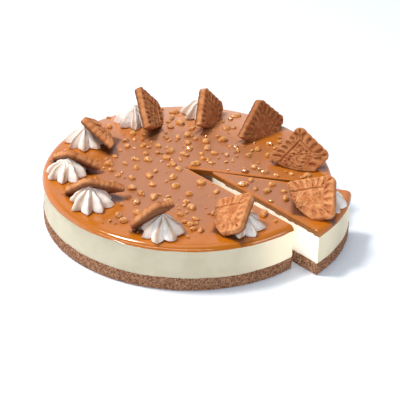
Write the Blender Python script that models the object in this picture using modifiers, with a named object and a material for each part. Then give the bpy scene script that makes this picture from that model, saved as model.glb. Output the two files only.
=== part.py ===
# Baked cheesecake on a crumb base, under a caramel sheet. Ten portions, each with a piped cream
# rosette and a half biscuit leaning on it; one portion is drawn out a little way.
# Metres, +Z up. The whole stands on z = 0, and the origin is under the middle of its outline.

import math
import random

import bmesh
import bpy
from mathutils import Matrix, Vector

# Cake: driving sizes
CAKE_RADIUS = 0.110
BASE_FLARE = 0.0005
BASE_TOP = 0.0094
BASE_EDGE = 0.0012
CHEESE_EDGE = 0.0006
CARAMEL_BOTTOM = 0.0325
CAKE_TOP = 0.0369
CARAMEL_SHOULDER = 0.0042
CARAMEL_BULGE = 0.0003
SHOULDER_STEPS = 4
SHOULDER_TURN = 85
GAP = 0.0003
AXIS_X = -0.0066
TURN_STEPS = 80

# Cuts: apex and directions of the open notch and of the drawn-out slice, seen from above
NOTCH_APEX = (-0.0006, 0.0033)
NOTCH_NEAR = math.radians(-46.3)
NOTCH_FAR = math.radians(-11.2)
SLICE_APEX = (0.0169, -0.0009)
SLICE_NEAR = math.radians(-47.6)
SLICE_FAR = math.radians(-13.5)
SLICE_CENTRE = (0.0141, -0.0124)
SLICE_TIP_LENGTH = 0.0035
CUT_REACH = 0.160
CUT_LOW = -0.020
CUT_HIGH = 0.080

# Cream rosettes: mean radius at a share of the height, from the foot up to the drawn-out tip
ROSETTE_STEPS = 4
ROSETTE_TWIST = math.radians(5)
ROSETTE_PROFILE = (
    (0.0119, 0.0),
    (0.0134, 0.10),
    (0.0126, 0.31),
    (0.0094, 0.59),
    (0.0050, 0.82),
    (0.0016, 0.95),
)
RIDGE_DEPTH = 0.17
CREASE_ANGLE = math.radians(60)

# Where the rosettes stand: distance from the cake's axis (mm), direction, direction of one petal
# (degrees), petals, height and how far the tip leans to the right (mm). The eighth is on the
# drawn-out slice, and is measured from that slice's own centre.
ROSETTES = (
    (88.4, -142.1, -101, 8, 15.6, -1.3),
    (92.4, -173.4, -100, 8, 14.1, 2.8),
    (90.5, 153.2, -89, 8, 14.2, -1.2),
    (89.6, 119.6, -80, 8, 15.3, 0.7),
    (92.0, 83.5, -97, 8, 15.0, -0.8),
    (90.5, 49.5, -85, 8, 15.0, 0.0),
    (91.0, 13.0, -95, 8, 15.0, 0.0),
    (94.8, -22.3, -10, 8, 15.0, 0.0),
    (92.3, -64.4, -93, 8, 15.0, -0.6),
    (93.4, -100.7, -103, 7, 15.9, 0.7),
)
SLICE_PORTION = 7

# Half biscuits
BISCUIT_WIDTH = 0.034
BISCUIT_THICKNESS = 0.0060
BISCUIT_CORNER = 0.0052
SIDE_PITCH = 0.0050
END_PITCH = 0.0064
LOWER_EDGE = 0.0005
UPPER_EDGE = 0.0005
EDGE_DIP = 0.0004
SLOT_OUTER = (0.0015, 0.0023)
SLOT_INNER = (0.0066, 0.0075)
SLOT_DEPTH = 0.0013
BORDER_WIDTH = 0.0082
PANEL_SLOPE = 0.0006
PANEL_DEPTH = 0.0009
BREAK_SLOPE = 0.06
BREAK_POINTS = 5
BREAK_JAG = 0.0007
FREE_SIDE = 0.0010
FREE_HEIGHT = 0.030

# How each biscuit leans: its highest back corner (x, y in mm from the cake's axis, height in mm over
# the caramel), the direction that its upper face looks in, its lean from flat, its turn in its own
# plane (degrees), its long and short side and the bulge of its broken edge (mm), and whether its
# patterned face is up.
LEANS = (
    ((-73.4, -59.2, 20.3), 91.0, 47.3, -56.5, 33.6, 8.0, 2.0, True),
    ((-90.4, -14.2, 18.1), 66.6, 46.0, -44.1, 28.5, 8.0, 2.0, True),
    ((-85.6, 35.3, 21.6), 23.1, 43.2, -47.7, 33.5, 14.6, 1.5, True),
    ((-44.9, 81.5, 29.5), -4.0, 58.6, -57.8, 41.5, 20.5, 2.5, True),
    ((8.2, 83.2, 30.5), -22.8, 72.0, -49.3, 34.0, 20.0, 2.0, True),
    ((53.6, 66.7, 30.4), -48.0, 76.5, -46.0, 35.8, 22.1, 2.5, True),
    ((87.0, 26.6, 26.8), -104.1, 56.8, -36.3, 35.0, 17.5, 4.0, True),
    ((109.9, -45.1, 21.9), -133.1, 42.0, -58.2, 35.5, 17.0, 6.0, True),
    ((50.3, -74.0, 21.9), -165.7, 39.5, -39.6, 31.0, 18.0, 6.0, True),
    ((-20.9, -103.0, 26.1), 121.2, 50.6, -71.0, 18.5, 8.0, 1.0, True),
)

# Caramelised nuggets
NUGGET_COUNT = 92
NUGGET_FIELD = 0.100
NUGGET_SIZES = (0.0022, 0.0036)
NUGGET_SPACING = 0.0078
NUGGET_CLEAR = 0.0010
NUGGET_STRETCH = ((0.95, 1.35), (0.75, 1.0), (0.6, 0.8))
NUGGET_ROUGHNESS = (0.85, 1.12)
NUGGET_LIFT = 0.25
NUGGET_LEVELS = (0.0, 0.002, 0.004)
ROSETTE_REACH = 0.0160
NUGGET_SEED = 24


def clear_scene():
    for obj in list(bpy.data.objects):
        bpy.data.objects.remove(obj, do_unlink=True)


def make_material(name, colour, roughness):
    material = bpy.data.materials.new(name)
    material.use_nodes = True
    shader = material.node_tree.nodes["Principled BSDF"]
    shader.inputs["Base Color"].default_value = (*colour, 1.0)
    shader.inputs["Roughness"].default_value = roughness
    shader.inputs["Metallic"].default_value = 0.0
    return material


def make_object(name, mesh, collection, material=None, parent=None):
    obj = bpy.data.objects.new(name, mesh)
    collection.objects.link(obj)
    obj.parent = parent
    if material:
        mesh.materials.append(material)
    return obj


def make_cutter(name, mesh, parent=None):
    obj = make_object(name, mesh, cutters, parent=parent)
    obj.hide_render = True
    obj.display_type = "WIRE"
    return obj


def add_boolean(obj, operation, cutter):
    modifier = obj.modifiers.new(operation.lower(), "BOOLEAN")
    modifier.operation = operation
    modifier.solver = "EXACT"
    modifier.object = cutter


def apply_modifiers(obj):
    depsgraph = bpy.context.evaluated_depsgraph_get()
    mesh = bpy.data.meshes.new_from_object(obj.evaluated_get(depsgraph))
    obj.modifiers.clear()
    obj.data = mesh


def profile_mesh(name, points):
    """An open outline of (radius, height) points, which a Screw modifier turns."""
    mesh = bpy.data.meshes.new(name)
    edges = [(i, i + 1) for i in range(len(points) - 1)]
    mesh.from_pydata([(r, 0.0, z) for r, z in points], edges, [])
    return mesh


def add_screw(obj):
    screw = obj.modifiers.new("turned", "SCREW")
    screw.steps = TURN_STEPS
    screw.render_steps = TURN_STEPS
    screw.use_merge_vertices = True
    screw.merge_threshold = 0.00001


def prism_mesh(name, outline, bottom, top):
    """A flat outline, anticlockwise from above, raised from bottom to top."""
    mesh = bpy.data.meshes.new(name)
    bm = bmesh.new()
    face = bm.faces.new([bm.verts.new((x, y, bottom)) for x, y in outline])
    raised = bmesh.ops.extrude_face_region(bm, geom=[face])
    verts = [v for v in raised["geom"] if isinstance(v, bmesh.types.BMVert)]
    bmesh.ops.translate(bm, verts=verts, vec=(0.0, 0.0, top - bottom))
    bmesh.ops.recalc_face_normals(bm, faces=bm.faces)
    bm.to_mesh(mesh)
    bm.free()
    return mesh


def loft_mesh(name, rings, tip=None):
    """Rings of equal count from bottom to top, anticlockwise from above, closed at both ends."""
    mesh = bpy.data.meshes.new(name)
    bm = bmesh.new()
    loops = [[bm.verts.new(point) for point in ring] for ring in rings]
    count = len(loops[0])
    for lower, upper in zip(loops, loops[1:]):
        for i in range(count):
            j = (i + 1) % count
            bm.faces.new((lower[i], lower[j], upper[j], upper[i]))
    bm.faces.new(list(reversed(loops[0])))
    if tip:
        point = bm.verts.new(tip)
        for i in range(count):
            bm.faces.new((loops[-1][i], loops[-1][(i + 1) % count], point))
    else:
        bm.faces.new(loops[-1])
    bmesh.ops.recalc_face_normals(bm, faces=bm.faces)
    bm.to_mesh(mesh)
    bm.free()
    return mesh


def base_profile():
    """Flat below, with a slightly barrelled side and soft edges."""
    outer = CAKE_RADIUS + BASE_FLARE
    return (
        (0.0, BASE_TOP),
        (outer - BASE_EDGE, BASE_TOP),
        (outer - BASE_EDGE / 6, BASE_TOP - BASE_EDGE),
        (outer, BASE_TOP / 2),
        (outer - BASE_EDGE / 6, BASE_EDGE),
        (outer - BASE_EDGE, 0.0),
        (0.0, 0.0),
    )


def cheesecake_profile():
    top = CARAMEL_BOTTOM - GAP
    bottom = BASE_TOP + GAP
    return (
        (0.0, top),
        (CAKE_RADIUS - CHEESE_EDGE, top),
        (CAKE_RADIUS, top - CHEESE_EDGE),
        (CAKE_RADIUS, bottom + CHEESE_EDGE),
        (CAKE_RADIUS - CHEESE_EDGE, bottom),
        (0.0, bottom),
    )


def caramel_profile():
    """Flat on top, a quarter-round shoulder, and a lip that bulges over the cheesecake's edge."""
    points = [(0.0, CAKE_TOP)]
    centre_r = CAKE_RADIUS - CARAMEL_SHOULDER + CARAMEL_BULGE
    centre_z = CAKE_TOP - CARAMEL_SHOULDER
    for i in range(SHOULDER_STEPS + 1):
        angle = math.radians(90 - SHOULDER_TURN * i / SHOULDER_STEPS)
        radius = centre_r + CARAMEL_SHOULDER * math.cos(angle)
        points.append((radius, centre_z + CARAMEL_SHOULDER * math.sin(angle)))
    points.append((CAKE_RADIUS - 2 * CARAMEL_BULGE, CARAMEL_BOTTOM))
    points.append((0.0, CARAMEL_BOTTOM))
    return points


def polar(angle, radius, centre=(0.0, 0.0)):
    return (centre[0] + radius * math.cos(angle), centre[1] + radius * math.sin(angle))


def notch_outline():
    middle = (NOTCH_NEAR + NOTCH_FAR) / 2
    return (
        NOTCH_APEX,
        polar(NOTCH_NEAR, CUT_REACH, NOTCH_APEX),
        polar(middle, CUT_REACH, NOTCH_APEX),
        polar(NOTCH_FAR, CUT_REACH, NOTCH_APEX),
    )


def slice_outline():
    middle = (SLICE_NEAR + SLICE_FAR) / 2
    return (
        polar(SLICE_NEAR, SLICE_TIP_LENGTH, SLICE_APEX),
        polar(SLICE_NEAR, CUT_REACH, SLICE_APEX),
        polar(middle, CUT_REACH, SLICE_APEX),
        polar(SLICE_FAR, CUT_REACH, SLICE_APEX),
        polar(SLICE_FAR, SLICE_TIP_LENGTH, SLICE_APEX),
    )


def make_layer(name, profile, material):
    """One layer of the standing cake, with the notch cut out, and its part in the slice."""
    layer = make_object(name, profile_mesh(name, profile), cake, material, axis)
    add_screw(layer)
    add_boolean(layer, "DIFFERENCE", notch_cutter)
    wedge = make_object("slice_" + name, profile_mesh("slice_" + name, profile), cake, material, axis)
    wedge.location = (*SLICE_CENTRE, 0.0)
    add_screw(wedge)
    add_boolean(wedge, "INTERSECT", slice_cutter)
    return layer, wedge


def portion_centre(index):
    return SLICE_CENTRE if index == SLICE_PORTION else (0.0, 0.0)


def rosette_centre(index):
    distance, degrees = ROSETTES[index][:2]
    return polar(math.radians(degrees), distance / 1000, portion_centre(index))


def rosette_mesh(name, index):
    """A star-piped dome of cream: sharp petals round the foot that run up to a leaning tip."""
    petal, petals, height, lean = ROSETTES[index][2:]
    count = petals * ROSETTE_STEPS
    rings = []
    for radius, rise in ROSETTE_PROFILE:
        shift = lean / 1000 * rise ** 2
        ring = []
        for i in range(count):
            angle = math.tau * i / count
            ridge = 1 + RIDGE_DEPTH * math.cos(petals * angle)
            x, y = polar(angle + math.radians(petal) + ROSETTE_TWIST * rise, radius * ridge)
            ring.append((x + shift, y, rise * height / 1000))
        rings.append(ring)
    return loft_mesh(name, rings, tip=(lean / 1000, 0.0, height / 1000))


def place_rosette(index):
    name = f"rosette_{index + 1:02d}"
    rosette = make_object(name, rosette_mesh(name, index), cake, cream, axis)
    rosette.location = (*rosette_centre(index), CAKE_TOP + GAP)
    rosette.data.shade_smooth()
    rosette.data.set_sharp_from_angle(angle=CREASE_ANGLE)
    return rosette


def lean_matrix(index):
    """From the biscuit's own frame (x along its end, y towards its end, z out of its upper face)."""
    (x, y, height), facing, lean, turn, *_ = LEANS[index]
    place = Matrix.Translation((x / 1000, y / 1000, CAKE_TOP + height / 1000))
    swing = Matrix.Rotation(math.radians(facing + 90), 4, "Z")
    tilt = Matrix.Rotation(math.radians(lean), 4, "X")
    spin = Matrix.Rotation(math.radians(turn), 4, "Z")
    return place @ swing @ tilt @ spin


def side_points(start, end, slots):
    """Points between and in the slots along one side; the last one belongs to what follows."""
    points = []
    for i in range(2 * slots):
        share = i / (2 * slots)
        point = Vector(start).lerp(Vector(end), share)
        points.append((point.x, point.y, "slot" if i % 2 else "bar"))
    return points


def biscuit_ring(long_side, short_side, bulge, inset, broken_inset, bar, slot, jags):
    """One level of the biscuit: two sides, the end with its round corners, and the broken edge."""
    heights = {"bar": bar, "slot": slot, "panel": min(bar, BISCUIT_THICKNESS - PANEL_DEPTH)}
    width = BISCUIT_WIDTH
    slope = (long_side - short_side) / width
    corner = max(BISCUIT_CORNER - inset, UPPER_EDGE)
    left = inset
    right = width - inset
    top = -inset
    low_left = -long_side + slope * left + broken_inset
    low_right = -long_side + slope * right + broken_inset
    slots_long = round((long_side - BISCUIT_CORNER) / SIDE_PITCH)
    slots_end = round((width - 2 * BISCUIT_CORNER) / END_PITCH)
    slots_short = max(1, round((short_side - BISCUIT_CORNER) / SIDE_PITCH))
    cut = corner * (1 - math.sqrt(0.5))
    flat = side_points((left, low_left), (left, top - corner), slots_long)
    flat += [(left, top - corner, "bar"), (left + cut, top - cut, "slot")]
    flat += side_points((left + corner, top), (right - corner, top), slots_end)
    flat += [(right - corner, top, "bar"), (right - cut, top - cut, "slot")]
    flat += side_points((right, top - corner), (right, low_right), slots_short)
    flat.append((right, low_right, "bar"))
    for i, jag in enumerate(jags, 1):
        share = i / (len(jags) + 1)
        point = Vector((right, low_right)).lerp(Vector((left, low_left)), share)
        in_border = min(point.x, width - point.x) < BORDER_WIDTH
        kind = "bar" if in_border else "panel"
        flat.append((point.x, point.y + jag - 4 * bulge * share * (1 - share), kind))
    return [(x, y, heights[kind]) for x, y, kind in reversed(flat)]


def biscuit_mesh(name, index):
    long_side, short_side, bulge = [length / 1000 for length in LEANS[index][4:7]]
    draw = random.Random(index)
    jags = [draw.uniform(-BREAK_JAG, BREAK_JAG) for _ in range(BREAK_POINTS)]
    top = BISCUIT_THICKNESS
    rim = top - EDGE_DIP
    floor = top - SLOT_DEPTH
    panel = top - PANEL_DEPTH
    face = (
        (UPPER_EDGE, top, rim),
        (SLOT_OUTER[0], top, rim),
        (SLOT_OUTER[1], top, floor),
        (SLOT_INNER[0], top, floor),
        (SLOT_INNER[1], top, top),
        (BORDER_WIDTH, top, top),
        (BORDER_WIDTH + PANEL_SLOPE, panel, panel),
    )
    levels = [(LOWER_EDGE, LOWER_EDGE, 0.0, 0.0), (0.0, 0.0, top - 2 * UPPER_EDGE, top - 3 * UPPER_EDGE)]
    levels += [(inset, UPPER_EDGE + BREAK_SLOPE * inset, bar, slot) for inset, bar, slot in face]
    rings = [biscuit_ring(long_side, short_side, bulge, *level, jags) for level in levels]
    if not LEANS[index][7]:
        rings = [[(x, y, top - z) for x, y, z in reversed(ring)] for ring in reversed(rings)]
    return loft_mesh(name, rings)


def slab_mesh(name, index):
    """The biscuit's plain envelope with a gap all round and the space over it, kept free of cream."""
    long_side, short_side, bulge = [length / 1000 + FREE_SIDE for length in LEANS[index][4:7]]
    outline = (
        (-GAP, GAP),
        (-GAP, -long_side),
        (BISCUIT_WIDTH / 2, -(long_side + short_side) / 2 - bulge),
        (BISCUIT_WIDTH + GAP, -short_side),
        (BISCUIT_WIDTH + GAP, GAP),
    )
    return prism_mesh(name, outline, -GAP, BISCUIT_THICKNESS + FREE_HEIGHT)


def place_biscuit(index, rosette):
    """The biscuit stands on the caramel with its lower corner cut level, and nests in the cream."""
    name = f"biscuit_{index + 1:02d}"
    lean = lean_matrix(index)
    half = make_object(name, biscuit_mesh(name, index), cake, biscuit, axis)
    half.matrix_local = lean
    add_boolean(half, "DIFFERENCE", caramel_cutter)
    slab = make_cutter(name + "_room", slab_mesh(name + "_room", index), axis)
    slab.matrix_local = lean
    add_boolean(rosette, "DIFFERENCE", slab)


def in_wedge(x, y, apex, near, far, margin):
    """Whether a point lies between two cut lines, at least margin inside both."""
    dx = x - apex[0]
    dy = y - apex[1]
    over_near = -dx * math.sin(near) + dy * math.cos(near)
    under_far = dx * math.sin(far) - dy * math.cos(far)
    return over_near > margin and under_far > margin


def clear_of_toppings(x, y, reach):
    for index in range(len(ROSETTES)):
        cx, cy = rosette_centre(index)
        if math.hypot(x - cx, y - cy) < ROSETTE_REACH + reach:
            return False
        back = lean_matrix(index).inverted()
        for height in NUGGET_LEVELS:
            local = back @ Vector((x, y, CAKE_TOP + height))
            inside_x = -reach < local.x < BISCUIT_WIDTH + reach
            inside_y = -LEANS[index][4] / 1000 - reach < local.y < reach
            inside_z = -reach < local.z < BISCUIT_THICKNESS + reach
            if inside_x and inside_y and inside_z:
                return False
    return True


def scatter_nuggets():
    """Places and sizes of the nuggets, on the standing cake (first list) and on the slice."""
    draw = random.Random(NUGGET_SEED)
    standing = []
    drawn = []
    while len(standing) + len(drawn) < NUGGET_COUNT:
        angle = draw.uniform(0, math.tau)
        distance = NUGGET_FIELD * math.sqrt(draw.random())
        size = draw.uniform(*NUGGET_SIZES)
        x, y = distance * math.cos(angle), distance * math.sin(angle)
        reach = size + NUGGET_CLEAR
        on_cake = not in_wedge(x, y, NOTCH_APEX, NOTCH_NEAR, NOTCH_FAR, -reach)
        if not on_cake:
            x += SLICE_CENTRE[0]
            y += SLICE_CENTRE[1]
            if not in_wedge(x, y, SLICE_APEX, SLICE_NEAR, SLICE_FAR, reach):
                continue
        if not clear_of_toppings(x, y, reach):
            continue
        group = standing if on_cake else drawn
        if all(math.hypot(x - a, y - b) > NUGGET_SPACING for a, b, _ in group):
            group.append((x, y, size))
    return standing, drawn


def nugget_mesh(name, size, draw):
    mesh = bpy.data.meshes.new(name)
    bm = bmesh.new()
    bmesh.ops.create_icosphere(bm, subdivisions=1, radius=size)
    stretch = Vector([draw.uniform(*limits) for limits in NUGGET_STRETCH])
    for vert in bm.verts:
        vert.co = vert.co * stretch * draw.uniform(*NUGGET_ROUGHNESS)
    bmesh.ops.rotate(bm, verts=bm.verts, matrix=Matrix.Rotation(draw.uniform(0, math.tau), 3, "Z"))
    bm.to_mesh(mesh)
    bm.free()
    return mesh


def fuse_nuggets(sheet, places, seed):
    """Nuggets sunk a third of their depth, joined to the caramel sheet by one union."""
    draw = random.Random(seed)
    group = bpy.data.collections.new(sheet.name + "_nuggets")
    bpy.context.scene.collection.children.link(group)
    for i, (x, y, size) in enumerate(places):
        name = f"{sheet.name}_nugget_{i}"
        nugget = make_object(name, nugget_mesh(name, size, draw), group, parent=axis)
        nugget.location = (x, y, CAKE_TOP + NUGGET_LIFT * size)
    bpy.context.view_layer.update()
    apply_modifiers(sheet)
    union = sheet.modifiers.new("nuggets", "BOOLEAN")
    union.operation = "UNION"
    union.operand_type = "COLLECTION"
    union.solver = "EXACT"
    union.collection = group
    apply_modifiers(sheet)
    for nugget in list(group.objects):
        bpy.data.objects.remove(nugget, do_unlink=True)
    bpy.data.collections.remove(group)


clear_scene()
cake = bpy.data.collections.new("baked_cheesecake")
cutters = bpy.data.collections.new("cutters")
bpy.context.scene.collection.children.link(cake)
bpy.context.scene.collection.children.link(cutters)

axis = bpy.data.objects.new("cake_axis", None)
cake.objects.link(axis)
axis.location = (AXIS_X, 0.0, 0.0)

crumb = make_material("crumb_base", (0.21, 0.095, 0.05), 0.9)
cheese = make_material("cheesecake", (0.85, 0.80, 0.66), 0.5)
caramel = make_material("caramel", (0.55, 0.25, 0.11), 0.25)
cream = make_material("cream", (0.90, 0.84, 0.77), 0.5)
biscuit = make_material("biscuit", (0.52, 0.25, 0.10), 0.8)

notch_cutter = make_cutter("notch", prism_mesh("notch", notch_outline(), CUT_LOW, CUT_HIGH), axis)
slice_cutter = make_cutter("slice", prism_mesh("slice", slice_outline(), CUT_LOW, CUT_HIGH), axis)
under_caramel = [polar(math.tau * i / 4, 2 * CUT_REACH) for i in range(4)]
caramel_cutter = make_cutter(
    "under_caramel", prism_mesh("under_caramel", under_caramel, CUT_LOW, CAKE_TOP + GAP), axis
)

make_layer("crumb_base", base_profile(), crumb)
make_layer("cheesecake", cheesecake_profile(), cheese)
caramel_top, slice_caramel_top = make_layer("caramel_top", caramel_profile(), caramel)

for portion in range(len(ROSETTES)):
    place_biscuit(portion, place_rosette(portion))

bpy.context.view_layer.update()
on_cake_nuggets, on_slice_nuggets = scatter_nuggets()
fuse_nuggets(caramel_top, on_cake_nuggets, 1)
fuse_nuggets(slice_caramel_top, on_slice_nuggets, 2)
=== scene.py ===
# Dresses a baked cheesecake: crumb base, filling, caramel, nuggets, piped cream and half biscuits.
import math
import random

import bmesh
import bpy
from mathutils import Matrix, Vector
from mathutils.noise import noise, voronoi


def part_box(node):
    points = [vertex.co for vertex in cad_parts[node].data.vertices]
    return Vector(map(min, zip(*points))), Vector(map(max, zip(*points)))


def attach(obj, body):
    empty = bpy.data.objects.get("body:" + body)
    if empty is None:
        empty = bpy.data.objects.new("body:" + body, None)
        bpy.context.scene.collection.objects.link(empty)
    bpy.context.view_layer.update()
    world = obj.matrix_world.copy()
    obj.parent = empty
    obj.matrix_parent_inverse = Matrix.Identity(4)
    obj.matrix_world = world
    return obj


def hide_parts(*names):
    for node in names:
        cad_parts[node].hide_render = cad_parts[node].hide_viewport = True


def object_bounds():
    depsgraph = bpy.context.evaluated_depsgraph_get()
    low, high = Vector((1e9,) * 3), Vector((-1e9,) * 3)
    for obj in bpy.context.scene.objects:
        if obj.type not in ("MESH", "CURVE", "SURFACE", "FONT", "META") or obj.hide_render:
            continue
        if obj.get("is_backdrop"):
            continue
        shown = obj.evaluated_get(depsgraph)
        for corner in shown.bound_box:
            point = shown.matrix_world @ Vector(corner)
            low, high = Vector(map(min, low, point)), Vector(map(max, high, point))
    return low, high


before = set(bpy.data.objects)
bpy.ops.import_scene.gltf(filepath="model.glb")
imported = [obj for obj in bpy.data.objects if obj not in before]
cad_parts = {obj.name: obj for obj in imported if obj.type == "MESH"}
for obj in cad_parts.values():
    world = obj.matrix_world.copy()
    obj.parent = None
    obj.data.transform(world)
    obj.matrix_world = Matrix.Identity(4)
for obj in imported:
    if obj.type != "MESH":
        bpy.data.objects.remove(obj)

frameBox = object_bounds()
print("frame loaded:", len(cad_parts), "nodes")

# What the frame says: the cake's axis, radius and levels, in metres
jointGap = 0.0003
cheeseLow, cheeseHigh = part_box("cheesecake")
cakeRadius = (cheeseHigh.y - cheeseLow.y) / 2
axisX = cheeseLow.x + cakeRadius
baseTop = cheeseLow.z - jointGap
caramelBottom = cheeseHigh.z + jointGap
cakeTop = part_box("rosette_01")[0].z - jointGap

# The two portions from above, measured from the cake's axis: where the cuts meet, their directions,
# the round side's centre, how much of the tip is missing and how far from the point the cut faces get painted
# shade
portions = {
    "standing": {
        "apex": (-0.0006, 0.0033), "start": -11.2, "end": 313.7, "centre": (0.0, 0.0),
        "tip": 0.0, "dragged": 0.0250,
    },
    "drawn": {
        "apex": (0.0169, -0.0009), "start": -47.6, "end": -13.5, "centre": (0.0141, -0.0124),
        "tip": 0.0035, "dragged": 0.0060,
    },
}
mm = 0.001


class Plug:  # an output socket that can stand in a sum
    def __init__(self, graph, socket):
        self.graph = graph
        self.socket = socket

    def math(self, operation, first, second=0.0):
        return self.graph.add("ShaderNodeMath", {"operation": operation}, {0: first, 1: second})

    def other(self, name):
        return Plug(self.graph, self.socket.node.outputs[name])

    def __add__(self, value):
        return self.math("ADD", self, value)

    __radd__ = __add__

    def __sub__(self, value):
        return self.math("SUBTRACT", self, value)

    def __rsub__(self, value):
        return self.math("SUBTRACT", value, self)

    def __mul__(self, value):
        return self.math("MULTIPLY", self, value)

    __rmul__ = __mul__

    def __truediv__(self, value):
        return self.math("DIVIDE", self, value)

    def __rtruediv__(self, value):
        return self.math("DIVIDE", value, self)

    def __pow__(self, value):
        return self.math("POWER", self, value)

    def step(self, low, high):  # 0 below low, 1 above high, smooth between
        limits = {0: self, 1: low, 2: high, 3: 0.0, 4: 1.0}
        return self.graph.add("ShaderNodeMapRange", {"interpolation_type": "SMOOTHSTEP"}, limits)


class Graph:  # a node tree, of a material or of Geometry Nodes
    def __init__(self, tree):
        self.tree = tree

    def add(self, kind, settings=None, inputs=None, output=0):
        node = self.tree.nodes.new(kind)
        for name, value in (settings or {}).items():
            if name == "curve":
                points = node.mapping.curves[0].points
                while len(points) < len(value):
                    points.new(0.5, 0.5)
                for point, place in zip(points, value):
                    point.location = place
                node.mapping.update()
            else:
                setattr(node, name, value)
        self.fill(node, inputs or {})
        return Plug(self, node.outputs[output]) if node.outputs else node

    def fill(self, node, inputs):
        for key, value in inputs.items():
            if isinstance(value, Plug):
                self.tree.links.new(value.socket, node.inputs[key])
            else:
                node.inputs[key].default_value = value

    def mix(self, factor, first, second):
        return self.add("ShaderNodeMix", {"data_type": "RGBA"}, {0: factor, 6: first, 7: second}, 2)

    def painted(self, look, first, *layers):
        # one of the look's colours, with others over it by their shares
        body = linear(*look[first])
        for share, name in layers:
            body = self.mix(share, body, linear(*look[name]))
        return body

    def vector(self, operation, inputs):
        return self.add("ShaderNodeVectorMath", {"operation": operation}, inputs)

    def parts(self, vector, output="X"):
        return self.add("ShaderNodeSeparateXYZ", {}, {0: vector}, output)

    def together(self, x, y, z=0.0):
        return self.add("ShaderNodeCombineXYZ", {}, {0: x, 1: y, 2: z})

    def stored(self, geometry, name, value, domain="POINT"):
        inputs = {"Geometry": geometry, "Name": name, "Value": value}
        kind = {"data_type": "FLOAT", "domain": domain}
        return self.add("GeometryNodeStoreNamedAttribute", kind, inputs)

    def ball(self, fineness):
        return self.add("GeometryNodeMeshIcoSphere", {}, {"Radius": 1.0, "Subdivisions": fineness}, "Mesh")

    def copies(self, points, instance, turn, scale):
        rotation = self.add("FunctionNodeEulerToRotation", {}, {0: turn})
        spread = {"Points": points, "Instance": instance, "Rotation": rotation, "Scale": scale}
        return self.add("GeometryNodeInstanceOnPoints", {}, spread)


def linear(red, green, blue):
    # a colour as a paint chart gives it, 0 to 255, in the light's own scale
    shares = [value / 255 for value in (red, green, blue)]
    return (*[s / 12.92 if s <= 0.04045 else ((s + 0.055) / 1.055) ** 2.4 for s in shares], 1.0)


def smooth(value, low, high):
    share = min(1.0, max(0.0, (value - low) / (high - low)))
    return share * share * (3 - 2 * share)


def mixed(first, second, share):
    return first + (second - first) * share


# Materials

def makeMaterial(name, paint):
    material = bpy.data.materials.new(name)
    material.use_nodes = True
    graph = Graph(material.node_tree)
    graph.fill(material.node_tree.nodes["Principled BSDF"], paint(graph))
    return material


def place(graph):
    return graph.add("ShaderNodeTexCoord", output="Object")


def grain(graph, scale, detail, roughness=0.5):
    inputs = {"Vector": place(graph), "Scale": scale, "Detail": detail, "Roughness": roughness}
    return graph.add("ShaderNodeTexNoise", {"noise_dimensions": "3D"}, inputs)


def cells(graph, scale, output="Distance"):
    return graph.add("ShaderNodeTexVoronoi", {}, {"Vector": place(graph), "Scale": scale}, output)


def marked(graph, name):
    return graph.add("ShaderNodeAttribute", {"attribute_name": name}, output="Fac")


def bumped(graph, height, distance, strength):
    inputs = {"Height": height, "Distance": distance, "Strength": strength}
    return graph.add("ShaderNodeBump", {}, inputs, "Normal")


caramelLook = {
    # a paler tan: the caramel's colour with a painted sheen of the bright backdrop over it
    "tanWithSkySheen": (180, 116, 74),
    # the caramel's own strong orange, where no sheen is painted
    "warm": (198, 112, 20),
    # a darker tone, for random darker patches and for the painted shade under the biscuits
    "darkToneAndShade": (92, 46, 20),
    "olive": (120, 70, 22),
    # painted reflection of the bright backdrop, towards the back
    "haze": (220, 168, 134),
    "roughness": 0.34,
}


def paintCaramel(graph):
    warm, cut, pooled = [marked(graph, name) for name in ("warm", "cut", "pooled")]
    # The colour holds painted light: a sheen over the tan body, a reflection towards the back and shade under
    # the biscuits.
    body = graph.painted(
        caramelLook, "tanWithSkySheen", (warm, "warm"), (grain(graph, 45, 3).step(0.45, 0.8) * 0.12, "darkToneAndShade"),
        (marked(graph, "haze") * 0.6, "haze"), (pooled * 0.9, "darkToneAndShade"), (cut * 0.7, "olive"),
    )
    height = grain(graph, 90, 2) + grain(graph, 420, 2) * 0.12 + grain(graph, 210, 2) * (warm + cut) * 1.4
    return {
        "Base Color": body,
        "Roughness": caramelLook["roughness"] - warm * 0.2 + pooled * 0.2,
        "Specular IOR Level": 0.5,
        "Coat Weight": marked(graph, "rim"),
        "Coat Roughness": 0.12,
        "Normal": bumped(graph, height, 0.00014, 0.5),
    }


nuggetLook = {"amber": (212, 134, 54), "pale": (240, 180, 104), "burnt": (146, 80, 28)}


def paintNuggets(graph):
    lump = grain(graph, 520, 3)
    burnt = grain(graph, 150, 2).step(0.5, 0.72) * 0.7
    return {
        "Base Color": graph.painted(nuggetLook, "amber", (lump.step(0.42, 0.66), "pale"), (burnt, "burnt")),
        "Roughness": 0.30 + lump * 0.2,
        "Coat Weight": 0.8,
        "Coat Roughness": 0.12,
        "Subsurface Weight": 0.15,
        "Subsurface Radius": (0.003, 0.0015, 0.0005),
        "Subsurface Scale": 0.5,
        "Normal": bumped(graph, grain(graph, 1500, 3), 0.0003, 0.5),
    }


cheeseLook = {
    "body": (219, 209, 182),
    "shade": (211, 200, 171),
    # painted light: the side turns whiter towards the cuts
    "near": (252, 243, 218),
    # the cut face: the filling's own paler inside, made brighter still as painted light
    "cut": (255, 251, 242),
    # painted glows, on the cut faces and on the side near them
    "glow": (0.20, 0.17, 0.12, 1.0),
    "paintedSideGlow": (0.30, 0.25, 0.16, 1.0),
    # painted shade for the cut faces close to where the cuts meet
    "dragged": (128, 78, 40),
}
noLight = (0.0, 0.0, 0.0, 1.0)


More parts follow.
